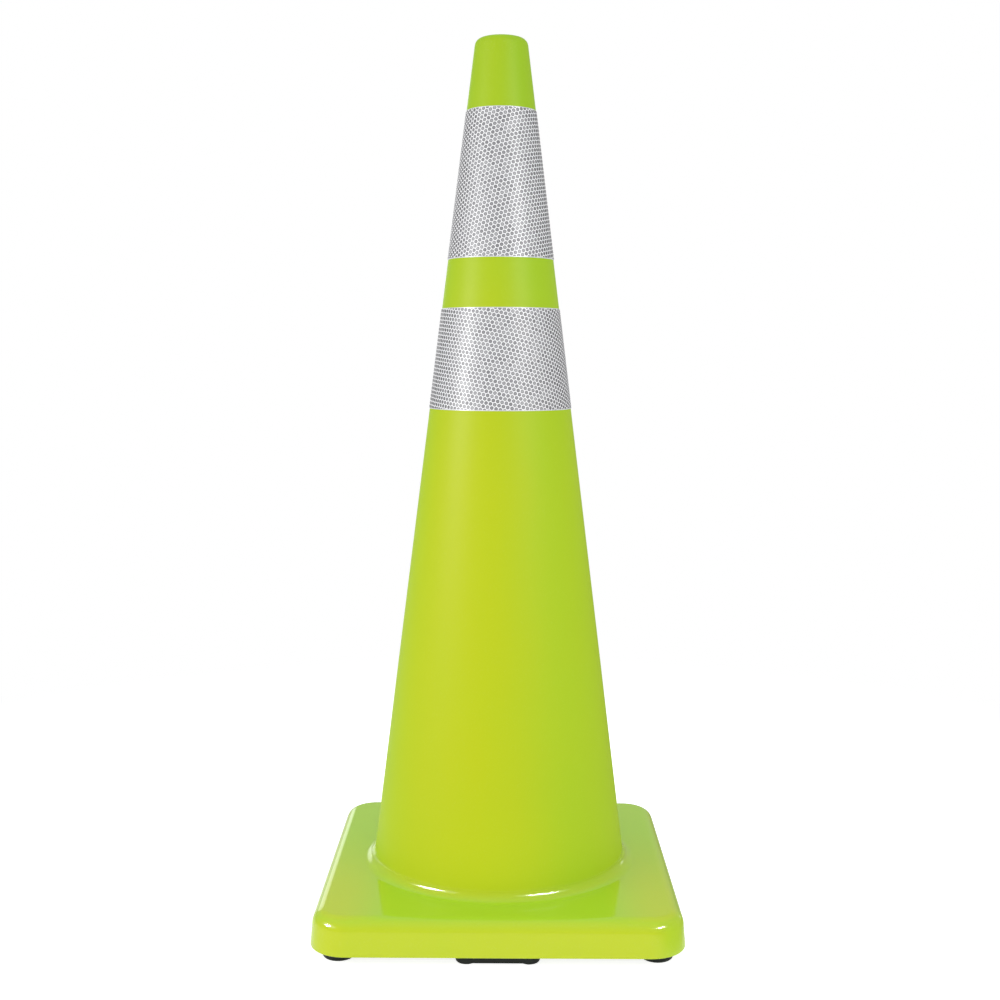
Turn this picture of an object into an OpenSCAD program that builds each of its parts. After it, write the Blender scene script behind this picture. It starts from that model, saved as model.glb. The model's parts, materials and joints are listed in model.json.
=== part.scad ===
// Traffic cone of the 36 inch class.
// A hollow, tapered cone and the skin of its square base are one flexible moulding.
// A black ballast slab sits under the base skin, round the open bottom of the cone.
// Eight rubber feet are keyed into the ballast and carry the cone on the ground.
// Two reflective collars are wrapped round the cone, each a prismatic face film
// on a white backing film, closed by a lap seam at the back.
//
// Origin: centre of the footprint, on the ground. +Z is up and -Y is the front.
// Lengths are in millimetres.

/* [Cone] */
// Height from the ground to the top rim
total_h = 914.4; // [880:0.2:950]
// Outside diameter of the cone at the level of the base's top face
cone_foot_d = 272.2; // [266:0.2:276]
// Outside diameter that the straight taper would reach at full height
cone_top_d = 53.4; // [52:0.1:58]
// Thickness of the cone's wall
cone_wall = 3.2; // [2.6:0.1:4]
// Radius of the rounding round the top rim
rim_round = 8.6; // [6:0.2:9]
// Diameter of the opening in the top
opening_d = 30; // [27:0.5:31]
// Length of the opening's straight wall
opening_wall = 6; // [4:0.5:9]
// Radius of the fillet between the cone and the base
foot_fillet = 12.3; // [6:0.1:13]
// Number of stand-off ribs inside the cone, which keep stacked cones from jamming
rib_count = 6; // [3:1:12]

/* [Base] */
// Width of the square base at its bottom edge
base_w = 372; // [366:0.2:384]
// Height of the base's top face above the ground
base_top_z = 46.4; // [44:0.2:54]
// Height of the skirt's bottom edge above the ground
skirt_z = 10.1; // [7:0.1:12]
// How far the base's sides lean in between the skirt's edge and the top face
base_draft = 3.4; // [2:0.1:6]
// Radius of the base's corners in plan, at the bottom edge
corner_r = 37.4; // [34:0.2:42]
// Radius of the base's corners in plan, at the top face
corner_top_r = 33.2; // [28:0.2:36]
// Radius of the rounding along the base's top edge
edge_round = 14.3; // [10:0.1:17]
// Thickness of the base's skin
skin_t = 4; // [3:0.2:5]

/* [Ballast and feet] */
// Height of the ballast's underside above the ground
ballast_z = 17.5; // [15:0.5:21]
// Diameter of a corner foot
corner_foot_d = 33; // [26:0.5:34]
// Distance from the skirt's edge to a corner foot's nearest point
corner_foot_inset = 13; // [10:0.5:18]
// Length of a side foot, over its two round pads
side_foot_l = 83; // [60:1:100]
// Diameter of each round pad at the ends of a side foot
side_pad_d = 21.6; // [16:0.2:24]
// Distance from the skirt's edge to a side foot's pads
side_foot_inset = 7.5; // [6:0.5:12]
// How far the bar between the pads stays clear of the ground
side_bar_lift = 1.1; // [0.4:0.1:2]
// Diameter of the stems that key the feet into the ballast
stem_d = 12; // [8:0.5:14]
// Length of the stems
stem_l = 12; // [8:0.5:16]

/* [Collars] */
// Height of the upper collar's top edge
upper_collar_z = 840.8; // [830:0.2:850]
// Width of the upper collar, measured down the slope
upper_collar_w = 153.2; // [140:0.2:160]
// Height of the lower collar's top edge
lower_collar_z = 638.2; // [630:0.2:645]
// Width of the lower collar, measured down the slope
lower_collar_w = 105; // [95:0.2:110]
// Thickness of the white backing film with its adhesive
backing_t = 0.25; // [0.2:0.05:0.4]
// Thickness of the prismatic face film
film_t = 0.25; // [0.2:0.05:0.4]
// How far the backing shows beyond the face film's edges
backing_margin = 0.9; // [0.5:0.1:2]
// Angle over which a collar's ends overlap at the back
lap_angle = 12; // [6:1:20]

/* [Hidden] */

$fn = 96;
hull_fn = 32;
arc_steps = 10;
sliver = 0.02;
overrun = 1;

taper = (cone_foot_d - cone_top_d) / 2 / (total_h - base_top_z);
half_angle = atan(taper);
opening_r = opening_d / 2;
lip_round = 2;
cap_slope = 0.7;
rib_depth = 3;
rib_thickness = 4;
rib_start = 12;
rib_length = 90;

base_half = base_w / 2;
draft_slope = base_draft / (base_top_z - skirt_z);
draft_angle = atan(draft_slope);
sleeve_z = ballast_z;

foot_round = 3;
socket_depth = stem_l + overrun;
corner_foot_xy = base_half - corner_foot_inset - corner_foot_d / 2;
side_foot_y = base_half - side_foot_inset - side_pad_d / 2;
side_pad_x = (side_foot_l - side_pad_d) / 2;
side_bar_w = side_pad_d - 2.4;

seam_angle = 90;
joggle_angle = 1;
step_inset = 0.05;
sheet_t = backing_t + film_t;

lime = [0.76, 0.84, 0.18];
black = [0.09, 0.10, 0.09];
silver = [0.78, 0.79, 0.80];
white = [0.93, 0.93, 0.94];

// Outside radius of the cone at height z, and the radius of its inside face
function cone_r(z) = cone_foot_d / 2 - taper * (z - base_top_z);
function inner_r(z) = cone_r(z) - cone_wall / cos(half_angle);

// Distance from the middle of the base to its leaning side at height z
function side_half(z) = base_half - draft_slope * (z - skirt_z);

// Points along an arc about [x, y], from angle a0 to angle a1
function arc(x, y, r, a0, a1) = [
    for (i = [0 : arc_steps])
        let (a = a0 + (a1 - a0) * i / arc_steps)
        [x + r * cos(a), y + r * sin(a)]
];

// Point on the cone's slope: s down the slope from height top_z, n outward from the surface
function on_slope(top_z, s, n) = [
    cone_r(top_z) + s * sin(half_angle) + n * cos(half_angle),
    top_z - s * cos(half_angle) + n * sin(half_angle)
];

// The cone's wall with its rounded rim, its top opening and the sleeve inside the base
module cone_wall_ring() {
    rim_z = total_h - rim_round;
    rim_x = cone_r(rim_z) - rim_round / cos(half_angle);
    bore_end_z = total_h - lip_round - opening_wall;
    cap_z = bore_end_z - (inner_r(bore_end_z) - opening_r) * cap_slope;
    rotate_extrude()
        polygon(concat(
            [[cone_r(sleeve_z), sleeve_z]],
            arc(rim_x, rim_z, rim_round, half_angle, 90),
            arc(opening_r + lip_round, total_h - lip_round, lip_round, 90, 180),
            [[opening_r, bore_end_z]],
            [[inner_r(cap_z), cap_z]],
            [[inner_r(sleeve_z), sleeve_z]]
        ));
}

// The rounded ring where the cone flares into the base's top face
module foot_fillet_ring() {
    fillet_z = base_top_z + foot_fillet;
    fillet_x = cone_r(fillet_z) + foot_fillet / cos(half_angle);
    root_z = base_top_z - skin_t / 2;
    contact_z = fillet_z - foot_fillet * sin(half_angle);
    rotate_extrude()
        polygon(concat(
            [[cone_r(contact_z) - cone_wall / 2, contact_z]],
            arc(fillet_x, fillet_z, foot_fillet, 180 + half_angle, 270),
            [[fillet_x, root_z]],
            [[cone_r(root_z) - cone_wall / 2, root_z]]
        ));
}

// The square block of the base, shrunk by inset on every face but its open bottom
module base_block(inset, bottom_z) {
    round_r = edge_round - inset;
    top_z = base_top_z - inset;
    round_z = top_z - round_r;
    corner_axis = base_half - corner_r;
    top_axis = side_half(base_top_z) - corner_top_r;
    round_x = side_half(round_z) - inset - round_r / cos(draft_angle) - top_axis;
    hull()
        for (x = [-1, 1], y = [-1, 1]) {
            translate([x * corner_axis, y * corner_axis, bottom_z])
                cylinder(h = sliver, r = side_half(bottom_z) - corner_axis - inset, $fn = hull_fn);
            translate([x * top_axis, y * top_axis, 0])
                rotate_extrude($fn = hull_fn)
                    polygon(concat(
                        [[0, round_z]],
                        arc(round_x, round_z, round_r, draft_angle, 90),
                        [[0, top_z]]
                    ));
        }
}

// The base's skin: top face, rounded edge and skirt, open inside the cone
module base_skin() {
    difference() {
        base_block(0, skirt_z);
        base_block(skin_t, skirt_z - overrun);
        cylinder(h = total_h, r = cone_r(base_top_z) - cone_wall / 2);
    }
}

// Stand-off ribs inside the cone, just above the base
module stacking_ribs() {
    low_z = base_top_z + rib_start;
    high_z = low_z + rib_length;
    root = cone_wall / 2;
    intersection() {
        rotate_extrude()
            polygon([
                [inner_r(low_z) + root, low_z],
                [inner_r(low_z) - rib_depth, low_z],
                [inner_r(high_z) - rib_depth / 2, high_z],
                [inner_r(high_z) + root, high_z]
            ]);
        for (i = [0 : rib_count - 1])
            rotate([0, 0, i * 360 / rib_count])
                translate([0, -rib_thickness / 2, low_z - overrun])
                    cube([cone_foot_d, rib_thickness, rib_length + 2 * overrun]);
    }
}

module cone_body() {
    color(lime)
        union() {
            cone_wall_ring();
            foot_fillet_ring();
            base_skin();
            stacking_ribs();
        }
}

// Places its children at each foot's stems: 4 corners, and 2 pads on each of 4 sides
module at_every_stem() {
    for (x = [-1, 1], y = [-1, 1])
        translate([x * corner_foot_xy, y * corner_foot_xy, ballast_z])
            children();
    for (turn = [0 : 90 : 270], x = [-1, 1])
        rotate([0, 0, turn])
            translate([x * side_pad_x, -side_foot_y, ballast_z])
                children();
}

module base_ballast() {
    color(black)
        difference() {
            base_block(skin_t, skirt_z - overrun);
            translate([-base_w, -base_w, ballast_z - base_w])
                cube([2 * base_w, 2 * base_w, base_w]);
            translate([0, 0, skirt_z])
                cylinder(h = base_top_z, r1 = cone_r(skirt_z), r2 = cone_r(skirt_z + base_top_z));
            at_every_stem()
                translate([0, 0, -overrun])
                    cylinder(h = socket_depth + overrun, d = stem_d);
        }
}

// A round rubber pad standing on the ground, with a rounded lower edge
module pad(d) {
    r = d / 2;
    rotate_extrude()
        polygon(concat(
            [[0, 0]],
            arc(r - foot_round, foot_round, foot_round, 270, 360),
            [[r, ballast_z], [0, ballast_z]]
        ));
}

module stem() {
    translate([0, 0, ballast_z - overrun])
        cylinder(h = stem_l + overrun, d = stem_d);
}

module corner_foot(x, y) {
    color(black)
        translate([x * corner_foot_xy, y * corner_foot_xy, 0])
            union() {
                pad(corner_foot_d);
                stem();
            }
}

module corner_foot_front_left() { corner_foot(-1, -1); }
module corner_foot_front_right() { corner_foot(1, -1); }
module corner_foot_back_left() { corner_foot(-1, 1); }
module corner_foot_back_right() { corner_foot(1, 1); }

// Two round pads joined by a bar, along the side that turn picks out
module side_foot(turn) {
    color(black)
        rotate([0, 0, turn])
            translate([0, -side_foot_y, 0])
                union() {
                    for (x = [-side_pad_x, side_pad_x])
                        translate([x, 0, 0]) {
                            pad(side_pad_d);
                            stem();
                        }
                    translate([-side_pad_x, -side_bar_w / 2, side_bar_lift])
                        cube([2 * side_pad_x, side_bar_w, ballast_z - side_bar_lift]);
                }
}

module side_foot_front() { side_foot(0); }
module side_foot_right() { side_foot(90); }
module side_foot_back() { side_foot(180); }
module side_foot_left() { side_foot(270); }

// One stretch of film round the cone: angles a0 to a1, s0 to s1 down the slope,
// n0 to n1 out from the cone's surface
module film_stretch(top_z, s, n, a) {
    rotate([0, 0, seam_angle + a[0]])
        rotate_extrude(angle = a[1] - a[0])
            polygon([
                on_slope(top_z, s[0], n[0]),
                on_slope(top_z, s[0], n[1]),
                on_slope(top_z, s[1], n[1]),
                on_slope(top_z, s[1], n[0])
            ]);
}

// One film of a collar. It covers n[0] to n[1] above the cone all the way round, then
// steps up by the sheet's thickness and laps over its own start. step_end is the angle
// where the step is complete. The step itself is set in a little from every face.
module wrapped_film(top_z, s, n, step_end) {
    step_start = step_end - joggle_angle;
    film_stretch(top_z, s, n, [0, step_end]);
    film_stretch(top_z, s, [n[0] + sheet_t, n[1] + sheet_t], [step_start, 360 + lap_angle]);
    film_stretch(
        top_z,
        [s[0] + step_inset, s[1] - step_inset],
        [n[0] + step_inset, n[1] + sheet_t - step_inset],
        [step_start + joggle_angle / 5, step_end - joggle_angle / 5]
    );
}

module collar_backing(top_z, width) {
    color(white)
        union()
            wrapped_film(top_z, [0, width], [0, backing_t], 360);
}

module collar_film(top_z, width) {
    color(silver)
        union()
            wrapped_film(
                top_z,
                [backing_margin, width - backing_margin],
                [backing_t, sheet_t],
                360 - joggle_angle
            );
}

module upper_collar_backing() { collar_backing(upper_collar_z, upper_collar_w); }
module upper_collar_film() { collar_film(upper_collar_z, upper_collar_w); }
module lower_collar_backing() { collar_backing(lower_collar_z, lower_collar_w); }
module lower_collar_film() { collar_film(lower_collar_z, lower_collar_w); }

cone_body();
base_ballast();
corner_foot_front_left();
corner_foot_front_right();
corner_foot_back_left();
corner_foot_back_right();
side_foot_front();
side_foot_back();
side_foot_left();
side_foot_right();
upper_collar_backing();
upper_collar_film();
lower_collar_backing();
lower_collar_film();
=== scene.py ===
import json
import math
import random

import bmesh
import bpy
import numpy as np
from mathutils import Matrix, Vector


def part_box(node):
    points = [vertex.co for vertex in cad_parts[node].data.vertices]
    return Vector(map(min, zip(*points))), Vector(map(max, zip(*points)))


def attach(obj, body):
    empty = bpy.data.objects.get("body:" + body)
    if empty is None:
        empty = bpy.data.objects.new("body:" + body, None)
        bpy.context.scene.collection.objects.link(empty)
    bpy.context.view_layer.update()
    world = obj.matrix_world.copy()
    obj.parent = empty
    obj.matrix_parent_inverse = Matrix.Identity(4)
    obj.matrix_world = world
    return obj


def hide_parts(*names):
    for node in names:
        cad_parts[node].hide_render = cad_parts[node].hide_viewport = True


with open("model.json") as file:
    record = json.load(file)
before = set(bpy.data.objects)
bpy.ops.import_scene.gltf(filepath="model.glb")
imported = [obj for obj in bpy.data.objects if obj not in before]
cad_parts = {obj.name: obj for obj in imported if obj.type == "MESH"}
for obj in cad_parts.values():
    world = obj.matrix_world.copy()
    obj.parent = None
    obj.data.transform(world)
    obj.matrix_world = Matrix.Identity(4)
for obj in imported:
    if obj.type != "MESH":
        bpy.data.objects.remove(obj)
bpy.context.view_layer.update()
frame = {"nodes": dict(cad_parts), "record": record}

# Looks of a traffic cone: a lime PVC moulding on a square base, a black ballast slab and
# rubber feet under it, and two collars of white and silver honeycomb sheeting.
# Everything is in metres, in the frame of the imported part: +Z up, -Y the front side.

MM = 0.001

# ---------------------------------------------------------------- sizes, from the frame

BODY_LOW, BODY_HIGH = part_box("cone_body")
MOUNTS = {m["name"]: m for m in frame["record"]["mounts"]}

TOTAL_H = BODY_HIGH.z
SKIRT_Z = BODY_LOW.z
BASE_HALF = BODY_HIGH.x
BALLAST_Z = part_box("base_ballast")[0].z
OPENING_R = MOUNTS["top_opening"]["dims"]["r_mm"] * MM
OPENING_WALL = MOUNTS["top_opening"]["dims"]["length_mm"] * MM

BACKING_T = 0.25 * MM
FILM_T = 0.25 * MM
SHEET_T = BACKING_T + FILM_T

# The collars hug the cone, so their boxes give its taper and its radius
UPPER_LOW, UPPER_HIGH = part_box("upper_collar_backing")
LOWER_LOW, LOWER_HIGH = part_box("lower_collar_backing")
TAPER = (LOWER_HIGH.x - UPPER_HIGH.x) / (UPPER_LOW.z - LOWER_LOW.z)
SLOPE = math.atan(TAPER)

BASE_TOP_Z = 46.4 * MM
BASE_DRAFT = 3.4 * MM
SKIN = 4.0 * MM
WALL = 3.2 * MM
CORNER_R = 37.4 * MM
CORNER_TOP_R = 33.2 * MM
EDGE_ROUND = 14.3 * MM
FOOT_FILLET = 12.3 * MM
RIM_ROUND = 8.6 * MM
LIP_ROUND = 2.0 * MM
HEM_ROUND = 1.2 * MM
SLEEVE_EDGE = 0.5 * MM
CAP_SLOPE = 0.7

RIB_COUNT = 6
RIB_DEPTH = 3.0 * MM
RIB_HALF_ANGLE = math.radians(0.9)
RIB_LOW_Z = BASE_TOP_Z + 12 * MM
RIB_HIGH_Z = RIB_LOW_Z + 90 * MM


def cone_r(z):
    """Outside radius of the cone at height z."""
    return UPPER_HIGH.x - BACKING_T / math.cos(SLOPE) + TAPER * (UPPER_LOW.z - z)


def side_half(z):
    """Distance from the middle of the base to its leaning side at height z."""
    lean = BASE_DRAFT / (BASE_TOP_Z - SKIRT_Z)
    return BASE_HALF - lean * (z - SKIRT_Z)


# ---------------------------------------------------------------- mesh helpers


def arc(centre, radius, start, stop, steps):
    """Points (x, z) along an arc, from angle start to angle stop in degrees."""
    angles = np.radians(np.linspace(start, stop, steps + 1))
    return [
        (centre[0] + radius * math.cos(a), centre[1] + radius * math.sin(a)) for a in angles
    ]


def rounded_square(half, corner_r, angles):
    """Distance from the middle to the outline of a rounded square, at each polar angle."""
    folded = np.abs((angles + math.pi / 4) % (math.pi / 2) - math.pi / 4)
    cos, sin = np.cos(folded), np.sin(folded)
    axis = half - corner_r
    reach = axis * (cos + sin)
    on_corner = reach + np.sqrt(np.maximum(reach**2 - 2 * axis**2 + corner_r**2, 0))
    on_side = half / cos
    return np.where(half * np.tan(folded) <= axis, on_side, on_corner)


def add_object(name, mesh, materials):
    """Puts a mesh into the scene as an object with these materials."""
    obj = bpy.data.objects.new(name, mesh)
    bpy.context.scene.collection.objects.link(obj)
    for m in materials:
        mesh.materials.append(m)
    return obj


def shade(mesh, angle=40):
    """Smooth shading, with edges sharper than the angle kept crisp."""
    for p in mesh.polygons:
        p.use_smooth = True
    bm = bmesh.new()
    bm.from_mesh(mesh)
    limit = math.radians(angle)
    for e in bm.edges:
        e.smooth = len(e.link_faces) == 2 and e.calc_face_angle(0) < limit
    bm.to_mesh(mesh)
    bm.free()


def loft(name, rings, closed_path):
    """A mesh through rings of points. Each ring is an N by 3 array that closes on itself.
    With closed_path, the last ring joins the first. Without it, the ends are capped."""
    count = len(rings[0])
    verts = np.concatenate(rings)
    faces = []
    spans = len(rings) if closed_path else len(rings) - 1
    for k in range(spans):
        low, high = k * count, (k + 1) % len(rings) * count
        for i in range(count):
            j = (i + 1) % count
            faces.append((low + i, low + j, high + j, high + i))
    if not closed_path:
        faces.append(tuple(range(count - 1, -1, -1)))
        last = (len(rings) - 1) * count
        faces.append(tuple(range(last, last + count)))
    mesh = bpy.data.meshes.new(name)
    mesh.from_pydata(verts.tolist(), [], faces)
    bm = bmesh.new()
    bm.from_mesh(mesh)
    bmesh.ops.recalc_face_normals(bm, faces=bm.faces)
    bm.to_mesh(mesh)
    bm.free()
    return mesh


def ring(radii, z, angles):
    """A ring of points from a radius, or one radius per angle, at height z."""
    radii = np.broadcast_to(radii, angles.shape)
    heights = np.broadcast_to(z, angles.shape)
    return np.stack([radii * np.cos(angles), radii * np.sin(angles), heights], axis=1)


def set_attribute(mesh, name, values):
    """Stores one number per vertex for the materials to read."""
    layer = mesh.attributes.new(name, "FLOAT", "POINT")
    layer.data.foreach_set("value", np.asarray(values, dtype=np.float32))


# ---------------------------------------------------------------- node helpers


class Nodes:
    """A short way to write a node tree: each call adds one node and returns an output."""

    def __init__(self, tree):
        self.tree = tree
        tree.nodes.clear()

    def put(self, socket, value):
        if isinstance(value, bpy.types.NodeSocket):
            self.tree.links.new(value, socket)
        else:
            socket.default_value = value

    def add(self, kind, out=0, settings=None, **inputs):
        node = self.tree.nodes.new(kind)
        for key, value in (settings or {}).items():
            setattr(node, key, value)
        for key, value in inputs.items():
            name = int(key[1:]) if key[1:].isdigit() else key.replace("_", " ")
            self.put(node.inputs[name], value)
        return node.outputs[out]

    def position(self):
        return self.add("ShaderNodeTexCoord", "Object")

    def axis(self, vector, index):
        return self.add("ShaderNodeSeparateXYZ", index, None, Vector=vector)

    def attribute(self, name):
        return self.add("ShaderNodeAttribute", "Fac", {"attribute_name": name})

    def scaled(self, vector, factors):
        return self.add("ShaderNodeVectorMath", 0, {"operation": "MULTIPLY"}, i0=vector, i1=factors)

    def dot(self, a, b):
        settings = {"operation": "DOT_PRODUCT"}
        return self.add("ShaderNodeVectorMath", "Value", settings, i0=a, i1=b)

    def math(self, operation, a, b=0.0, clamp=False):
        settings = {"operation": operation, "use_clamp": clamp}
        return self.add("ShaderNodeMath", 0, settings, i0=a, i1=b)

    def noise(self, vector, scale, detail=2.0, rough=0.5):
        return self.add(
            "ShaderNodeTexNoise", "Fac", Vector=vector, Scale=scale, Detail=detail, Roughness=rough
        )

    def cells(self, vector, scale, feature="F1", out="Distance"):
        return self.add(
            "ShaderNodeTexVoronoi", out, {"feature": feature}, Vector=vector, Scale=scale
        )

    def ramp(self, value, low, high, to_low=0.0, to_high=1.0, smooth=True):
        settings = {"interpolation_type": "SMOOTHSTEP" if smooth else "LINEAR"}
        return self.add(
            "ShaderNodeMapRange", 0, settings, i0=value, i1=low, i2=high, i3=to_low, i4=to_high
        )

    def mix(self, share, a, b):
        settings = {"data_type": "RGBA"}
        return self.add("ShaderNodeMix", 2, settings, i0=share, i6=a, i7=b)

    def mix_value(self, share, a, b):
        return self.add("ShaderNodeMix", 0, {"data_type": "FLOAT"}, i0=share, i2=a, i3=b)

    def bump(self, height, depth, normal=None):
        """Depth is how far, in metres, a height of 1 stands above a height of 0."""
        inputs = {"Height": height, "Distance": depth, "Strength": 1.0}
        if normal is not None:
            inputs["Normal"] = normal
        return self.add("ShaderNodeBump", 0, None, **inputs)

    def surface(self, **inputs):
        self.output(self.add("ShaderNodeBsdfPrincipled", 0, None, **inputs))

    def output(self, shader, kind="ShaderNodeOutputMaterial"):
        node = self.tree.nodes.new(kind)
        self.tree.links.new(shader, node.inputs["Surface"])


def new_material(name):
    material = bpy.data.materials.new(name)
    material.use_nodes = True
    return material, Nodes(material.node_tree)


def rgb(red, green, blue):
    """A colour from the usual 0 to 255 values, as linear light."""
    def linear(c):
        c = c / 255
        return c / 12.92 if c <= 0.04045 else ((c + 0.055) / 1.055) ** 2.4
    return (linear(red), linear(green), linear(blue), 1.0)


# ---------------------------------------------------------------- materials

# LIME_LIT and LIME_SHADE are lit and shaded copies of the lime, mixed as painted light and shade.
# KEY_SIDE is the side that painted light falls from.
LIME_LIT = (0.568, 0.655, 0.014, 1.0)
LIME_SHADE = (0.425, 0.695, 0.030, 1.0)
LIME_SCUFF = rgb(226, 236, 150)
KEY_SIDE = Vector((-0.38, -0.925, 0.0))


def painted_lime_light(n, where, height):
    """Painted light and shade on the lime, from 0 to 1 between its shaded and its lit colour: the
    most on upright faces toward the key light, less up the cone and round its sides, and some on
    the base's front corners."""
    normal = n.add("ShaderNodeNewGeometry", "Normal")
    # Painted light: faces turned toward the key light get the lit colour, and less of it higher up
    # the cone.
    facing = n.dot(normal, KEY_SIDE)
    lit = n.ramp(facing, 0.5, 1.1)
    high = n.ramp(height, 0.42, 0.85)
    lit = n.math("MULTIPLY", lit, n.mix_value(high, 0.62, 0.36))
    lit = n.math("ADD", lit, n.mix_value(high, 0.38, 0.0))
    # Upward faces get the shaded colour instead, with painted light near the base's front corners.
    upward = n.ramp(n.axis(normal, 2), 0.75, 0.98)
    corner = n.ramp(n.math("ABSOLUTE", n.axis(where, 0)), 0.10, 0.16, 0.0, 0.75)
    corner = n.math("MULTIPLY", corner, n.ramp(n.axis(where, 1), 0.10, -0.13))
    return n.mix_value(upward, lit, corner)


def lime_pvc():
    """Fluorescent lime PVC: satin grain on the cone, polished on the base and the cone's foot.
    Its colour carries painted light and shade: painted brighter low down, and painted a little
    darker toward the top."""
    material, n = new_material("lime_pvc")
    where = n.position()
    height = n.axis(where, 2)
    cone_share = n.ramp(height, BASE_TOP_Z + 7 * MM, BASE_TOP_Z + 13 * MM)
    wear = n.attribute("wear")

    cloud = n.noise(where, 11.0, 3.0)
    flow = n.noise(n.scaled(where, (1.0, 1.0, 0.15)), 45.0, 3.0)
    drift = n.math("ADD", n.math("MULTIPLY", cloud, 0.16), n.math("MULTIPLY", flow, 0.12))
    # tone is painted light and shade from the key light, plus random drift in the pigment.
    tone = n.math("ADD", painted_lime_light(n, where, height), n.math("SUBTRACT", drift, 0.14), True)
    colour = n.mix(tone, LIME_SHADE, LIME_LIT)
    # Painted light low down and painted shade toward the top, scaling the whole colour.
    painted_light_low = n.ramp(height, 0.04, 0.16, 1.04, 0.98)
    painted_shade_high = n.ramp(height, 0.4, 0.9, 1.0, 0.92)
    painted_light_by_height = n.math("MULTIPLY", painted_light_low, painted_shade_high)
    colour = n.add("ShaderNodeVectorMath", 0, {"operation": "SCALE"}, i0=colour, Scale=painted_light_by_height)

    scratch = n.noise(where, 420.0, 4.0, 0.7)
    scuffed = n.math("MULTIPLY", wear, n.ramp(scratch, 0.52, 0.7), True)
    colour = n.mix(n.math("MULTIPLY", scuffed, 0.35), colour, LIME_SCUFF)

    grain = n.noise(where, 1900.0, 2.0, 0.6)
    peel = n.noise(where, 130.0, 2.0)
    base_rough = n.ramp(cloud, 0.3, 0.7, 0.07, 0.11)
    cone_rough = n.ramp(grain, 0.3, 0.7, 0.40, 0.50)
    rough = n.mix_value(cone_share, base_rough, cone_rough)
    rough = n.math("ADD", rough, n.math("MULTIPLY", scuffed, 0.35), True)

    soft = n.bump(peel, 0.01 * MM)
    fine = n.bump(n.math("MULTIPLY", grain, cone_share), 0.03 * MM, soft)
    worn = n.bump(scuffed, 0.04 * MM, fine)
    shine = n.mix_value(cone_share, 0.38, 0.06)
    n.surface(Base_Color=colour, Roughness=rough, Normal=worn, IOR=1.5, Specular_IOR_Level=shine)
    return material


def recycled_black():
    """Ballast of ground and remoulded PVC: dull black with flecks of every colour it was."""
    material, n = new_material("recycled_black")
    where = n.position()
    crumbs = n.cells(where, 420.0, "F1", "Color")
    value = n.add("ShaderNodeSeparateColor", 0, None, Color=crumbs)
    fleck = n.ramp(value, 0.93, 0.97)
    colour = n.mix(n.noise(where, 60.0, 4.0), rgb(24, 27, 25), rgb(44, 48, 45))
    colour = n.mix(n.math("MULTIPLY", fleck, 0.6), colour, rgb(96, 110, 70))
    pits = n.cells(where, 520.0)
    rough = n.ramp(n.noise(where, 90.0, 4.0), 0.3, 0.7, 0.55, 0.85)
    relief = n.bump(n.math("ADD", pits, n.noise(where, 900.0, 3.0)), 0.18 * MM)
    n.surface(Base_Color=colour, Roughness=rough, Normal=relief, IOR=1.5)
    return material


def foot_rubber():
    """Black rubber with a low sheen, greyed where it rubs the ground."""
    material, n = new_material("foot_rubber")
    where = n.position()
    height = n.axis(where, 2)
    # Near-black rubber; the green cast in it is painted reflection of the lime moulding above.
    colour = n.mix(n.noise(where, 180.0, 4.0), rgb(16, 22, 19), rgb(26, 33, 29))
    near_ground = n.ramp(height, 0.0, 1.2 * MM, 1.0, 0.0)
    patchy = n.ramp(n.noise(where, 700.0, 4.0, 0.7), 0.42, 0.65)
    dust = n.math("MULTIPLY", near_ground, patchy, True)
    colour = n.mix(n.math("MULTIPLY", dust, 0.3), colour, rgb(120, 118, 108))
    rough = n.ramp(n.noise(where, 350.0, 3.0), 0.3, 0.7, 0.34, 0.5)
    rough = n.math("ADD", rough, n.math("MULTIPLY", dust, 0.3), True)
    relief = n.bump(n.noise(where, 1500.0, 3.0, 0.65), 0.05 * MM)
    n.surface(Base_Color=colour, Roughness=rough, Normal=relief, IOR=1.5, Specular_IOR_Level=0.3)
    return material


def backing_film():
    """White carrier film, seen as a thin edge beside the honeycomb."""
    material, n = new_material("backing_film")
    where = n.position()
    colour = n.mix(n.noise(where, 120.0, 3.0), rgb(226, 224, 236), rgb(240, 239, 246))
    relief = n.bump(n.noise(where, 800.0, 2.0), 0.02 * MM)
    n.surface(Base_Color=colour, Roughness=0.35, Normal=relief, IOR=1.5)
    return material


def seal_web():
    """White seal lines between the prism cells, under a clear satin face."""
    material, n = new_material("seal_web")
    where = n.position()
    colour = n.mix(n.noise(where, 300.0, 3.0), rgb(245, 245, 248), rgb(251, 251, 253))
    rough = n.ramp(n.noise(where, 40.0, 3.0), 0.3, 0.7, 0.50, 0.62)
    relief = n.bump(n.noise(where, 1400.0, 2.0), 0.015 * MM)
    n.surface(
        Base_Color=colour, Roughness=rough, Normal=relief, IOR=1.5, Specular_IOR_Level=0.25,
        Coat_Weight=0.055, Coat_Roughness=0.22,
    )
    return material


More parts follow.
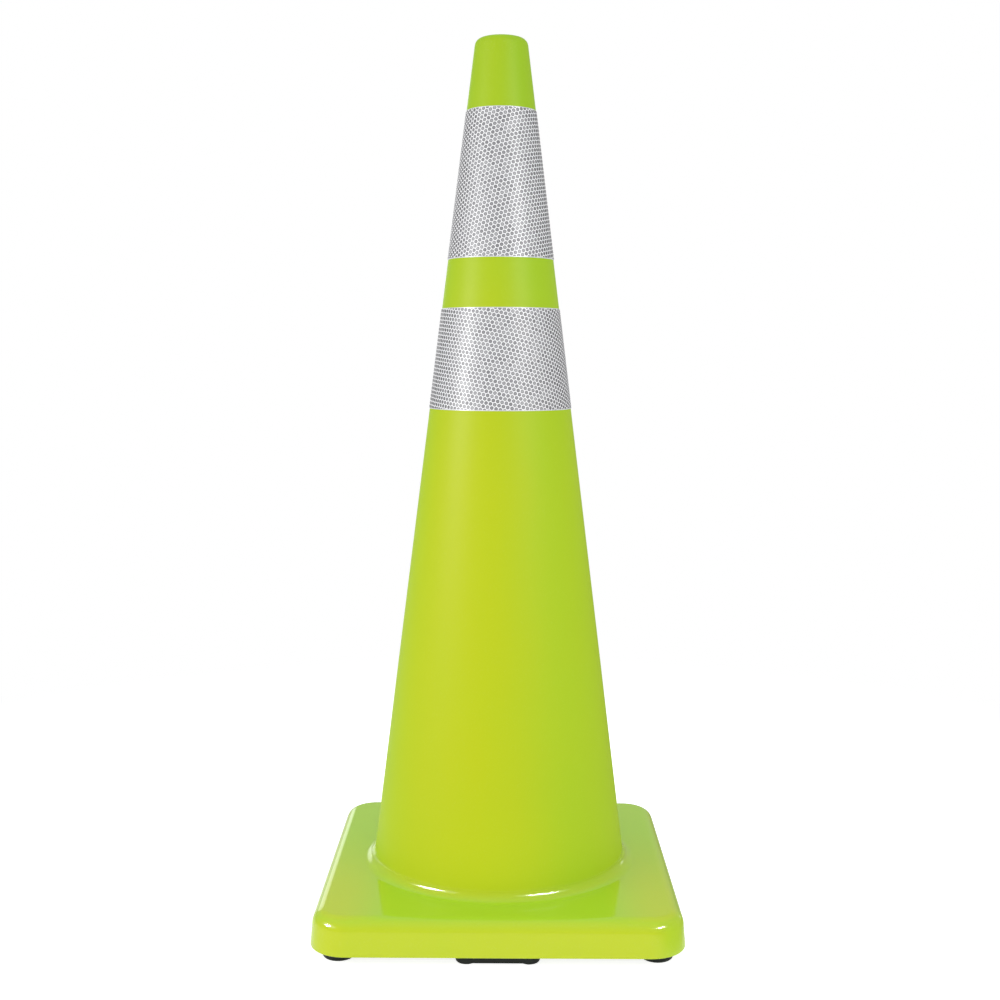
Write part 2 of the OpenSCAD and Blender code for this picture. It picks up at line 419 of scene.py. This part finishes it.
def prism_cell():
    """Silver-grey cells of tiny cube corners, painted darker where the sheet turns away from the
    view, as painted shade for the light they no longer throw straight back.
    Every cell has a shade of its own, a dark ring inside its wall and a paler core."""
    material, n = new_material("prism_cell")
    where = n.position()
    facets = n.cells(where, 2600.0, "F1", "Color")
    sparkle = n.add("ShaderNodeSeparateColor", 0, None, Color=facets)
    patch = n.noise(where, 60.0, 3.0)
    own_shade = n.math("MULTIPLY", n.attribute("tone"), 0.45)
    shade_share = n.math("ADD", own_shade, n.math("MULTIPLY", patch, 0.25))
    shade_share = n.math("ADD", shade_share, 0.15)
    dark = n.mix(shade_share, rgb(20, 20, 24), rgb(106, 106, 111))
    pale = n.mix(shade_share, rgb(100, 100, 105), rgb(204, 204, 208))
    core = n.ramp(n.attribute("core"), 0.1, 0.9)
    colour = n.mix(n.math("ADD", core, n.math("MULTIPLY", sparkle, 0.2), True), dark, pale)
    # Painted shade: the cells' colour turns dark grey as the view grazes the sheet.
    painted_grazing_shade = n.add("ShaderNodeLayerWeight", "Facing", None, Blend=0.5)
    colour = n.mix(n.ramp(painted_grazing_shade, 0.1, 0.75, 0.0, 0.85), colour, rgb(48, 48, 52))
    relief = n.bump(sparkle, 0.02 * MM)
    n.surface(
        Base_Color=colour, Roughness=0.5, Normal=relief, IOR=1.5, Specular_IOR_Level=0.25,
        Coat_Weight=0.055, Coat_Roughness=0.22,
    )
    return material


# ---------------------------------------------------------------- the lime moulding

ANGLE_STEPS = 304
BALLAST_STEPS = 256


def moulding_angles():
    """Polar angles for every ring: even ones, and extra ones at the ribs' edges."""
    even = np.arange(ANGLE_STEPS) * 2 * math.pi / ANGLE_STEPS
    edges = []
    for i in range(RIB_COUNT):
        rib_angle = i * 2 * math.pi / RIB_COUNT
        for offset in (-1.5, -1.0, 1.0, 1.5):
            edges.append(rib_angle + offset * RIB_HALF_ANGLE)
    return np.unique(np.round(np.concatenate([even, np.array(edges) % (2 * math.pi)]), 9))


def block_outline(inset, z, angles):
    """Outline of the base block below its rounding, shrunk by inset, at height z."""
    bottom_axis = BASE_HALF - CORNER_R
    top_axis = side_half(BASE_TOP_Z) - CORNER_TOP_R
    share = (z - SKIRT_Z) / (BASE_TOP_Z - EDGE_ROUND - SKIRT_Z)
    axis = bottom_axis + (top_axis - bottom_axis) * share
    half = side_half(z) - inset
    return rounded_square(half, half - axis, angles)


def block_rounding(inset, degrees, angles):
    """Ring on the base block's rounded top edge. 0 degrees is the side, 90 is the top."""
    radius = EDGE_ROUND - inset
    low_z = BASE_TOP_Z - inset - radius
    top_axis = side_half(BASE_TOP_Z) - CORNER_TOP_R
    reach = side_half(low_z) - inset - radius - top_axis
    a = math.radians(degrees)
    corner = reach + radius * math.cos(a)
    outline = rounded_square(top_axis + corner, corner, angles)
    return ring(outline, low_z + radius * math.sin(a), angles)


def moulding_rings(angles):
    """Every ring of the moulding in order, each with its wear from 0 to 1.
    They run down the outside, under the skirt, up the inside and back to the rim."""
    tilt = math.degrees(SLOPE)
    rings = []

    def circles(points, wear=0.0):
        for r, z in points:
            rings.append((ring(r, z, angles), wear))

    rim_z = TOTAL_H - RIM_ROUND
    rim_x = cone_r(rim_z) - RIM_ROUND / math.cos(SLOPE)
    circles(arc((rim_x, rim_z), RIM_ROUND, 90, tilt, 14), 0.25)

    fillet_z = BASE_TOP_Z + FOOT_FILLET
    fillet_x = cone_r(fillet_z) + FOOT_FILLET / math.cos(SLOPE)
    contact_z = fillet_z - FOOT_FILLET * math.sin(SLOPE)
    heights = np.linspace(rim_z + RIM_ROUND * math.sin(SLOPE), contact_z, 56)[1:-1]
    circles([(cone_r(z), z) for z in heights], 0.08)
    circles(arc((fillet_x, fillet_z), FOOT_FILLET, 180 + tilt, 270, 16), 0.05)

    edge = block_rounding(0, 90, angles)
    edge_r = np.hypot(edge[:, 0], edge[:, 1])
    for share in np.linspace(0, 1, 13)[1:-1]:
        blend = share**1.3
        rings.append((ring(fillet_x * (1 - blend) + edge_r * blend, BASE_TOP_Z, angles), 0.06))
    for degrees in np.linspace(90, 0, 17):
        wear = 0.05 + 0.07 * math.sin(math.radians(2 * degrees)) ** 2
        rings.append((block_rounding(0, degrees, angles), wear))
    for z in np.linspace(BASE_TOP_Z - EDGE_ROUND, SKIRT_Z + HEM_ROUND, 8)[1:]:
        rings.append((ring(block_outline(0, z, angles), z, angles), 0.12))
    for degrees in (30, 60, 90):
        a = math.radians(degrees)
        inset = HEM_ROUND * (1 - math.cos(a))
        z = SKIRT_Z + HEM_ROUND * (1 - math.sin(a))
        rings.append((ring(block_outline(inset, z, angles), z, angles), 1.0))
    rings.append((ring(block_outline(SKIN - HEM_ROUND / 2, SKIRT_Z, angles), SKIRT_Z, angles), 1.0))
    inner_z = SKIRT_Z + HEM_ROUND / 2
    for z in np.linspace(inner_z, BASE_TOP_Z - EDGE_ROUND, 6):
        rings.append((ring(block_outline(SKIN, z, angles), z, angles), 0.2))
    for degrees in np.linspace(0, 90, 7)[1:]:
        rings.append((block_rounding(SKIN, degrees, angles), 0.0))

    under_z = BASE_TOP_Z - SKIN
    circles([(cone_r(under_z), under_z), (cone_r(BALLAST_Z + MM), BALLAST_Z + MM)])
    outer_x = cone_r(BALLAST_Z) - SLEEVE_EDGE
    inner_x = inner_r(BALLAST_Z) + SLEEVE_EDGE
    circles([(outer_x, BALLAST_Z), (inner_x, BALLAST_Z)], 0.4)

    bore_end_z = TOTAL_H - LIP_ROUND - OPENING_WALL
    cap_z = bore_end_z - (inner_r(bore_end_z) - OPENING_R) * CAP_SLOPE
    steps = [BALLAST_Z + MM, BASE_TOP_Z, RIB_LOW_Z - MM, RIB_LOW_Z]
    steps += list(np.linspace(RIB_LOW_Z, RIB_HIGH_Z, 8)[1:]) + [RIB_HIGH_Z + MM]
    steps += list(np.linspace(RIB_HIGH_Z, cap_z, 18)[1:])
    for z in steps:
        rings.append((ring(inner_r(z) - rib_height(z, angles), z, angles), 0.1))
    circles([(OPENING_R, bore_end_z), (OPENING_R, TOTAL_H - LIP_ROUND)], 0.4)
    lip = arc((OPENING_R + LIP_ROUND, TOTAL_H - LIP_ROUND), LIP_ROUND, 180, 90, 6)
    circles(lip[1:], 0.5)
    return rings


def inner_r(z):
    """Radius of the cone's inside face at height z."""
    return cone_r(z) - WALL / math.cos(SLOPE)


def rib_height(z, angles):
    """How far the stand-off ribs stand in from the inside face, at each angle."""
    if z < RIB_LOW_Z or z > RIB_HIGH_Z:
        return np.zeros_like(angles)
    fade = (z - RIB_LOW_Z) / (RIB_HIGH_Z - RIB_LOW_Z)
    spacing = 2 * math.pi / RIB_COUNT
    off = np.abs((angles + spacing / 2) % spacing - spacing / 2)
    inside = np.clip((1.5 * RIB_HALF_ANGLE - off) / (0.5 * RIB_HALF_ANGLE), 0, 1)
    return inside * RIB_DEPTH * (1 - fade / 2)


def make_moulding(material):
    angles = moulding_angles()
    rings = moulding_rings(angles)
    mesh = loft("cone_moulding", [points for points, wear in rings], True)
    set_attribute(mesh, "wear", np.repeat([wear for points, wear in rings], len(angles)))
    obj = add_object("cone_moulding", mesh, [material])
    shade(mesh, 50)
    return obj


# ---------------------------------------------------------------- ballast and feet

FOOT_ROUND = 3.0 * MM
FOOT_CHAMFER = 0.4 * MM
GROOVE_HALF = 1.0 * MM
GROOVE_DEPTH = 0.5 * MM
BAR_ROUND = 1.0 * MM
BAR_LIFT = 1.1 * MM
BAR_NARROWER = 2.4 * MM
BAR_TOP_GAP = 0.2 * MM
STEM_R = 6.0 * MM
STEM_L = 12.0 * MM
STEM_CHAMFER = 1.0 * MM
CORNER_FOOT_STEPS = 64
SIDE_PAD_STEPS = 48
SOCKET_STEPS = 32
BALLAST_GAP = 0.05 * MM
BALLAST_CHAMFER = 1.0 * MM
CORNER_FEET = [n for n in frame["nodes"] if n.startswith("corner_foot")]
SIDE_FEET = [n for n in frame["nodes"] if n.startswith("side_foot")]


def middle(node):
    """The middle of a CAD node's box."""
    low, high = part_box(node)
    return (low + high) / 2


def lathe(name, profile, count):
    """A solid of revolution about Z from (r, z) points. Its first and last rings are capped."""
    angles = np.arange(count) * 2 * math.pi / count
    return loft(name, [ring(r, z, angles) for r, z in profile], False)


def foot_profile(radius):
    """Half section of a round foot with its stem and two shallow grip grooves underneath."""
    points = [(0.4 * MM, 0.35 * MM), (1.6 * MM, 0.0)]
    for middle_r in (0.38 * radius, 0.62 * radius):
        points += [
            (middle_r - GROOVE_HALF, 0.0), (middle_r - GROOVE_HALF / 2, GROOVE_DEPTH),
            (middle_r + GROOVE_HALF / 2, GROOVE_DEPTH), (middle_r + GROOVE_HALF, 0.0),
        ]
    points += arc((radius - FOOT_ROUND, FOOT_ROUND), FOOT_ROUND, 270, 360, 8)
    points += [(radius, BALLAST_Z - FOOT_CHAMFER), (radius - FOOT_CHAMFER, BALLAST_Z)]
    stem_top = BALLAST_Z + STEM_L
    points += [(STEM_R, BALLAST_Z), (STEM_R, stem_top - STEM_CHAMFER)]
    points += [(STEM_R - STEM_CHAMFER, stem_top)]
    return points


def join_solids(name, meshes, material):
    """One object from solids that overlap, with no faces left inside."""
    parts = [add_object(f"{name}_{i}", m, [material]) for i, m in enumerate(meshes)]
    main = parts[0]
    main.name = name
    for other in parts[1:]:
        modifier = main.modifiers.new("join", "BOOLEAN")
        modifier.operation = "UNION"
        modifier.solver = "EXACT"
        modifier.object = other
    apply_modifiers(main)
    for other in parts[1:]:
        bpy.data.objects.remove(other)
    return main


def apply_modifiers(obj):
    """Replaces the object's mesh by the one its modifiers make."""
    seen = obj.evaluated_get(bpy.context.evaluated_depsgraph_get())
    mesh = bpy.data.meshes.new_from_object(seen)
    obj.modifiers.clear()
    obj.data = mesh


def make_corner_foot(node, material):
    low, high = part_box(node)
    mesh = lathe(node + "_rubber", foot_profile((high.x - low.x) / 2), CORNER_FOOT_STEPS)
    at = middle(node)
    mesh.transform(Matrix.Translation((at.x, at.y, 0)))
    shade(mesh)
    return add_object(node + "_rubber", mesh, [material])


def bar_mesh(length, width, low_z, high_z):
    """A bar along X with rounded lower edges."""
    bm = bmesh.new()
    bmesh.ops.create_cube(bm, size=1)
    middle_z = (low_z + high_z) / 2
    size = Matrix.Diagonal((length, width, high_z - low_z, 1))
    bmesh.ops.transform(bm, matrix=Matrix.Translation((0, 0, middle_z)) @ size, verts=bm.verts)
    lower = [e for e in bm.edges if all(v.co.z < middle_z for v in e.verts)]
    bmesh.ops.bevel(bm, geom=lower, offset=BAR_ROUND, segments=4, affect="EDGES")
    mesh = bpy.data.meshes.new("bar")
    bm.to_mesh(mesh)
    bm.free()
    return mesh


def make_side_foot(node, material):
    low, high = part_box(node)
    length, width = high.x - low.x, high.y - low.y
    turn = 0.0
    if width > length:
        length, width = width, length
        turn = math.pi / 2
    radius = width / 2
    pad_x = length / 2 - radius
    meshes = []
    for x in (-pad_x, pad_x):
        pad = lathe("pad", foot_profile(radius), SIDE_PAD_STEPS)
        pad.transform(Matrix.Translation((x, 0, 0)))
        meshes.append(pad)
    bar = bar_mesh(2 * pad_x, width - BAR_NARROWER, BAR_LIFT, BALLAST_Z - BAR_TOP_GAP)
    meshes.insert(1, bar)
    obj = join_solids(node + "_rubber", meshes, material)
    at = middle(node)
    obj.data.transform(Matrix.Translation((at.x, at.y, 0)) @ Matrix.Rotation(turn, 4, "Z"))
    shade(obj.data)
    return obj


def stem_places():
    """Where every foot's stems go into the ballast."""
    places = [middle(node) for node in CORNER_FEET]
    for node in SIDE_FEET:
        low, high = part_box(node)
        at = middle(node)
        reach = abs((high.x - low.x) - (high.y - low.y)) / 2
        lies_along_x = high.x - low.x > high.y - low.y
        along = Vector((reach, 0, 0)) if lies_along_x else Vector((0, reach, 0))
        places += [at + along, at - along]
    return places


def make_ballast(material):
    """The slab under the skin, crumbly underneath, with a socket for every stem."""
    angles = np.arange(BALLAST_STEPS) * 2 * math.pi / BALLAST_STEPS
    edge = SKIN + BALLAST_GAP
    rings = []
    inner = cone_r(BALLAST_Z) + BALLAST_GAP + BALLAST_CHAMFER
    outer = block_outline(edge, BALLAST_Z, angles) - BALLAST_CHAMFER
    for share in np.linspace(0, 1, 25):
        rings.append(ring(inner + (outer - inner) * share, BALLAST_Z, angles))
    for z in np.linspace(BALLAST_Z + BALLAST_CHAMFER, BASE_TOP_Z - EDGE_ROUND, 4):
        rings.append(ring(block_outline(edge, z, angles), z, angles))
    for degrees in np.linspace(0, 90, 7)[1:]:
        rings.append(block_rounding(edge, degrees, angles))
    top_z = BASE_TOP_Z - edge
    for z in (top_z, (top_z + BALLAST_Z) / 2, BALLAST_Z + BALLAST_CHAMFER):
        rings.append(ring(cone_r(z) + BALLAST_GAP, z, angles))
    mesh = loft("ballast_slab", rings, True)
    obj = add_object("ballast_slab", mesh, [material])
    cutters = []
    for at in stem_places():
        socket_r = STEM_R + BALLAST_GAP
        profile = [(socket_r, BALLAST_Z - MM), (socket_r, BALLAST_Z + STEM_L + MM)]
        plug = lathe("plug", profile, SOCKET_STEPS)
        plug.transform(Matrix.Translation((at.x, at.y, 0)))
        cutters.append(plug)
    drill = bpy.data.meshes.new("drill")
    bm = bmesh.new()
    for plug in cutters:
        bm.from_mesh(plug)
    bm.to_mesh(drill)
    bm.free()
    drill_obj = add_object("drill", drill, [])
    modifier = obj.modifiers.new("sockets", "BOOLEAN")
    modifier.operation = "DIFFERENCE"
    modifier.solver = "EXACT"
    modifier.object = drill_obj
    apply_modifiers(obj)
    bpy.data.objects.remove(drill_obj)
    shade(obj.data)
    return obj


# ---------------------------------------------------------------- collars

CELL_PITCH = 4.45 * MM
CELL_SHARE = 0.755
CORE_SHARE = 0.34
CELL_HEIGHT = 0.05 * MM
FILM_GAP = 0.02 * MM
CARRIER_GAP = 0.01 * MM
CARRIER_EDGE = 0.08 * MM
MARGIN = 0.9 * MM
LAP_ANGLE = math.radians(12)
JOGGLE_ANGLE = math.radians(1)
SEAM_ANGLE = math.pi / 2
APEX_Z = UPPER_LOW.z + cone_r(UPPER_LOW.z) / TAPER


def slant(z):
    """Distance down the slope from the cone's apex to height z."""
    return (APEX_Z - z) / math.cos(SLOPE)


def on_cone(slope_s, turn, lift):
    """Points at a slant distance, an angle round from the seam and a height off the cone."""
    r = slope_s * math.sin(SLOPE) + lift * math.cos(SLOPE)
    z = APEX_Z - slope_s * math.cos(SLOPE) + lift * math.sin(SLOPE)
    angle = SEAM_ANGLE + turn
    return np.stack([r * np.cos(angle), r * np.sin(angle), z], axis=1)


def lapped_lift(turn, step_end):
    """Extra height of the sheet: nothing all round, then the step up onto its own start."""
    return SHEET_T * np.clip((turn - step_end + JOGGLE_ANGLE) / JOGGLE_ANGLE, 0, 1)


def make_backing(name, top_s, bottom_s, material):
    """The white carrier film: a thin closed sheet wrapped round with its ends overlapped."""
    turns = np.concatenate([
        np.linspace(0, 2 * math.pi - JOGGLE_ANGLE, 240),
        np.linspace(2 * math.pi - JOGGLE_ANGLE, 2 * math.pi, 5)[1:],
        np.linspace(2 * math.pi, 2 * math.pi + LAP_ANGLE, 12)[1:],
    ])
    lift = lapped_lift(turns, 2 * math.pi)
    outline = [
        (top_s, CARRIER_GAP), (top_s, BACKING_T - CARRIER_EDGE),
        (top_s + CARRIER_EDGE, BACKING_T), (bottom_s - CARRIER_EDGE, BACKING_T),
        (bottom_s, BACKING_T - CARRIER_EDGE), (bottom_s, CARRIER_GAP),
    ]
    sections = []
    for turn, up in zip(turns, lift):
        s = np.array([p[0] for p in outline])
        rise = np.array([p[1] for p in outline]) + up
        sections.append(on_cone(s, np.full(len(outline), turn), rise))
    mesh = loft(name, sections, False)
    shade(mesh, 30)
    return add_object(name, mesh, [material])


def honeycomb(top_s, bottom_s, end_turn, heading, seed):
    """Flat mesh of hexagonal cells in a white web. X is the angle round times the mean slant,
    Y is the slant and Z is the relief. Cells are cut off cleanly at the sheet's edges."""
    mean_s = (top_s + bottom_s) / 2
    sin_slope = math.sin(SLOPE)
    front = math.pi
    spread = (end_turn - front) * sin_slope
    reach = bottom_s * max(spread, front * sin_slope) * 1.2
    row = CELL_PITCH * math.sqrt(3) / 2
    steps = int(math.ceil((reach + bottom_s) / row)) + 2
    cos_h, sin_h = math.cos(heading), math.sin(heading)
    bm = bmesh.new()
    tone_of = bm.verts.layers.float.new("tone")
    core_of = bm.verts.layers.float.new("core")
    chance = random.Random(seed)
    corner_angles = [heading + math.radians(30 + 60 * k) for k in range(6)]
    outer_r = CELL_PITCH / math.sqrt(3)
    shared = {}

    def vertex(u, v, relief, tone, core):
        # Corners that neighbouring cells have in common get the same key and become one vertex
        key = (round(u / MM * 50), round(v / MM * 50), round(relief / MM * 1000))
        if key not in shared:
            s = math.hypot(u, v)
            turn = front + math.atan2(u, v) / sin_slope
            shared[key] = bm.verts.new((turn * mean_s, s, relief))
            shared[key][tone_of] = tone
            shared[key][core_of] = core
        return shared[key]

    for j in range(-steps, steps + 1):
        for i in range(-steps, steps + 1):
            along = (i + 0.5 * (j % 2)) * CELL_PITCH
            across = j * row
            u = along * cos_h - across * sin_h
            v = mean_s + along * sin_h + across * cos_h
            s = math.hypot(u, v)
            turn = front + math.atan2(u, v) / sin_slope
            slack = 1.2 * CELL_PITCH
            turn_slack = slack / (s * sin_slope)
            if v <= 0 or not top_s - slack < s < bottom_s + slack:
                continue
            if not -turn_slack < turn < end_turn + turn_slack:
                continue
            tone = chance.random()
            loops = []
            for radius, relief, core in (
                (outer_r, 0.0, 0.0),
                (outer_r * CELL_SHARE, CELL_HEIGHT * 0.3, 0.0),
                (outer_r * CORE_SHARE, CELL_HEIGHT, 1.0),
            ):
                loops.append([
                    vertex(u + radius * math.cos(a), v + radius * math.sin(a), relief, tone, core)
                    for a in corner_angles
                ])
            edge, rim, top = loops
            for k in range(6):
                m = (k + 1) % 6
                bm.faces.new((edge[k], edge[m], rim[m], rim[k])).material_index = 0
                bm.faces.new((rim[k], rim[m], top[m], top[k])).material_index = 1
            bm.faces.new(top).material_index = 1
    # Trim to the sheet: its top edge, its bottom edge and its two ends
    cuts = [
        ((0, top_s, 0), (0, -1, 0)), ((0, bottom_s, 0), (0, 1, 0)),
        ((0, 0, 0), (-1, 0, 0)), ((end_turn * mean_s, 0, 0), (1, 0, 0)),
    ]
    for point, outward in cuts:
        geometry = bm.verts[:] + bm.edges[:] + bm.faces[:]
        bmesh.ops.bisect_plane(
            bm, geom=geometry, dist=1e-7, plane_co=point, plane_no=outward, clear_outer=True
        )
    return bm, mean_s


def make_film(name, top_s, bottom_s, heading, seed, materials):
    """The honeycomb face film, wrapped onto the cone over its backing."""
    step_end = 2 * math.pi - JOGGLE_ANGLE
    end_turn = 2 * math.pi + LAP_ANGLE
    bm, mean_s = honeycomb(top_s + MARGIN, bottom_s - MARGIN, end_turn, heading, seed)
    bmesh.ops.remove_doubles(bm, verts=bm.verts, dist=1e-6)
    flat = np.array([v.co[:] for v in bm.verts])
    turn, s, relief = flat[:, 0] / mean_s, flat[:, 1], flat[:, 2]
    face_lift = SHEET_T - CELL_HEIGHT + relief + lapped_lift(turn, step_end)
    placed = on_cone(s, turn, face_lift)
    for v, co in zip(bm.verts, placed):
        v.co = co
    bmesh.ops.recalc_face_normals(bm, faces=bm.faces)
    mesh = bpy.data.meshes.new(name)
    bm.to_mesh(mesh)
    bm.free()
    obj = add_object(name, mesh, materials)
    shell = obj.modifiers.new("thickness", "SOLIDIFY")
    shell.thickness = FILM_T - CELL_HEIGHT - FILM_GAP
    shell.offset = -1
    apply_modifiers(obj)
    shade(obj.data, 30)
    return obj


# ---------------------------------------------------------------- build

LIME = lime_pvc()
BLACK = recycled_black()
RUBBER = foot_rubber()
WHITE = backing_film()
WEB = seal_web()
PRISM = prism_cell()


def place(piece, node):
    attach(piece, "root")
    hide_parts(node)


place(make_moulding(LIME), "cone_body")
place(make_ballast(BLACK), "base_ballast")
for foot in CORNER_FEET:
    place(make_corner_foot(foot, RUBBER), foot)
for foot in SIDE_FEET:
    place(make_side_foot(foot, RUBBER), foot)

# The way the honeycomb's rows run on each collar, and the seed for its cells' shades
SHEETING = {"upper": (math.radians(43), 5), "lower": (math.radians(12), 9)}
for collar, (heading, seed) in SHEETING.items():
    low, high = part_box(collar + "_collar_backing")
    collar_top = slant(high.z)
    collar_bottom = slant(low.z)
    backing = make_backing(collar + "_collar_carrier", collar_top, collar_bottom, WHITE)
    place(backing, collar + "_collar_backing")
    face = make_film(
        collar + "_collar_honeycomb", collar_top, collar_bottom, heading, seed, [WEB, PRISM]
    )
    place(face, collar + "_collar_film")


# ---------------------------------------------------------------- stage, light, camera

FLOOR_R = 9.0
FLOOR_GLOW_FRONT = 0.38
FLOOR_GLOW_BACK = 0.10
FLOOR_GLOW_SEEN = 0.85
ROOM_HORIZON = (0.44, 0.44, 0.44, 1)
ROOM_MIDDLE = (0.60, 0.60, 0.60, 1)
ROOM_ABOVE = (0.95, 0.95, 0.95, 1)
# Azimuth, elevation and half width in degrees, then strength
BACKDROPS = [(-158, 10, 8, 2.0), (141, 5, 4, 1.6)]
LIGHT_DISTANCE = 2.2
LIGHT_SPREAD = math.radians(100)
AIM_Z = 0.1


def make_floor():
    """A big pale sheet of paper that glows a little and fades into the white background.
    It can't be seen from below, so that the underside can be looked at. In mirrored rays it is
    painted dark to the right, as painted shade in its reflections, which takes the glare off that
    side."""
    material, n = new_material("floor_paper")
    where = n.position()
    colour = n.mix(n.noise(where, 3.0, 3.0), (0.84, 0.84, 0.84, 1), (0.87, 0.87, 0.87, 1))
    # Painted shade in reflections: to the right, mirrored rays see the paper dark and without its
    # glow, as if a grey card lay there.
    mirrored = n.add("ShaderNodeLightPath", "Is Glossy Ray")
    painted_reflection_shade = n.math("MULTIPLY", mirrored, n.ramp(n.axis(where, 0), 0.19, 0.26, 0.0, 0.7))
    colour = n.mix(painted_reflection_shade, colour, (0.0, 0.0, 0.0, 1))
    paper = n.add("ShaderNodeBsdfDiffuse", 0, None, Color=colour)
    seen = n.add("ShaderNodeLightPath", "Is Camera Ray")
    backward = n.math("SUBTRACT", 0.0, n.axis(where, 1))
    front = n.ramp(backward, -0.4, 0.1, FLOOR_GLOW_BACK, FLOOR_GLOW_FRONT)
    front = n.math("MULTIPLY", front, n.math("SUBTRACT", 1.0, painted_reflection_shade))
    strength = n.mix_value(seen, front, FLOOR_GLOW_SEEN)
    glow = n.add("ShaderNodeEmission", 0, None, Color=(1, 1, 1, 1), Strength=strength)
    lit = n.add("ShaderNodeAddShader", 0, None, i0=paper, i1=glow)
    distance = n.add("ShaderNodeVectorMath", "Value", {"operation": "LENGTH"}, i0=where)
    white = n.add("ShaderNodeEmission", 0, None, Color=(1, 1, 1, 1), Strength=1.0)
    fade = n.math("MULTIPLY", seen, n.ramp(distance, 0.4, 1.2))
    faded = n.add("ShaderNodeMixShader", 0, None, i0=fade, i1=lit, i2=white)
    clear = n.add("ShaderNodeBsdfTransparent", 0, None)
    behind = n.add("ShaderNodeNewGeometry", "Backfacing")
    n.output(n.add("ShaderNodeMixShader", 0, None, i0=behind, i1=faded, i2=clear))
    bm = bmesh.new()
    bmesh.ops.create_circle(bm, cap_ends=True, segments=96, radius=FLOOR_R)
    mesh = bpy.data.meshes.new("floor")
    bm.to_mesh(mesh)
    bm.free()
    floor = add_object("floor", mesh, [material])


def toward(azimuth, elevation):
    """A direction from the cone. Azimuth 0 is in front, 90 is to the right, 180 is behind."""
    a, e = math.radians(azimuth), math.radians(elevation)
    return Vector((math.sin(a) * math.cos(e), -math.cos(a) * math.cos(e), math.sin(e)))


def make_light(name, azimuth, elevation, size, power, mirrored):
    """An oval light aimed at the cone. A mirrored one only shows as a highlight in the glossy
    surfaces, and any other lights the object without a highlight."""
    lamp = bpy.data.lights.new(name, "AREA")
    lamp.shape = "ELLIPSE"
    lamp.size, lamp.size_y = size
    lamp.energy = power
    lamp.spread = LIGHT_SPREAD
    obj = bpy.data.objects.new(name, lamp)
    obj.location = Vector((0, 0, BASE_TOP_Z)) + toward(azimuth, elevation) * LIGHT_DISTANCE
    aim = Vector((0, 0, AIM_Z)) - obj.location
    obj.rotation_euler = aim.to_track_quat("-Z", "Y").to_euler()
    obj.visible_glossy = mirrored
    obj.visible_diffuse = not mirrored
    bpy.context.scene.collection.objects.link(obj)


def make_world():
    """White to the camera. To the object, a soft studio that is dimmer towards the horizon.
    Bright backdrops behind the object show only in its glossy surfaces."""
    world = bpy.data.worlds.new("studio")
    bpy.context.scene.world = world
    world.use_nodes = True
    n = Nodes(world.node_tree)
    direction = n.add("ShaderNodeTexCoord", "Generated")
    up = n.axis(direction, 2)
    room = n.mix(n.ramp(up, 0.0, 0.35), ROOM_HORIZON, ROOM_MIDDLE)
    room = n.mix(n.ramp(up, 0.5, 0.9), room, ROOM_ABOVE)
    glossy = n.add("ShaderNodeLightPath", "Is Glossy Ray")
    for azimuth, elevation, half_width, strength in BACKDROPS:
        near = n.dot(direction, toward(azimuth, elevation))
        edge = math.cos(math.radians(half_width * 1.3))
        inside = n.ramp(near, edge, math.cos(math.radians(half_width * 0.7)))
        room = n.mix(n.math("MULTIPLY", inside, glossy), room, (strength, strength, strength, 1))
    seen = n.add("ShaderNodeLightPath", "Is Camera Ray")
    colour = n.mix(seen, room, (1.0, 1.0, 1.0, 1))
    background = n.add("ShaderNodeBackground", 0, None, Color=colour, Strength=1.0)
    n.output(background, "ShaderNodeOutputWorld")


def make_camera():
    """A product view, almost straight on, from about two thirds of the way up the cone and
    tilted a little down."""
    lens_px = 1380.7
    distance, height = 1.4655, 0.5918
    pitch, roll, orbit = 0.1058, 0.0033, 0.0046
    camera_data = bpy.data.cameras.new("camera")
    camera_data.sensor_width = 36
    camera_data.lens = 36 * lens_px / 1000
    camera = bpy.data.objects.new("camera", camera_data)
    turn = Matrix.Rotation(orbit, 4, "Z") @ Matrix.Rotation(math.pi / 2 - pitch, 4, "X")
    turn = turn @ Matrix.Rotation(roll, 4, "Z")
    at = Matrix.Rotation(orbit, 4, "Z") @ Vector((0, -distance, height))
    camera.matrix_world = Matrix.Translation(at) @ turn
    bpy.context.scene.collection.objects.link(camera)
    bpy.context.scene.camera = camera


make_floor()
make_world()
# Name, azimuth, elevation, width and height in metres, power in watts, mirrored or not
make_light("key_left", -62, 30, (2.2, 2.2), 3.4, False)
make_light("key_right", 33, 30, (2.2, 2.2), 1.9, False)
make_light("softbox_left", -63, 25, (0.95, 0.38), 20, True)
make_light("softbox_left_rim", -60, 27, (1.9, 0.8), 3.6, True)
make_light("softbox_right", 42, 35, (1.05, 0.29), 16, True)
make_light("softbox_right_rim", 42, 36, (1.8, 0.8), 2.5, True)
make_camera()
bpy.context.scene.view_settings.view_transform = "Standard"
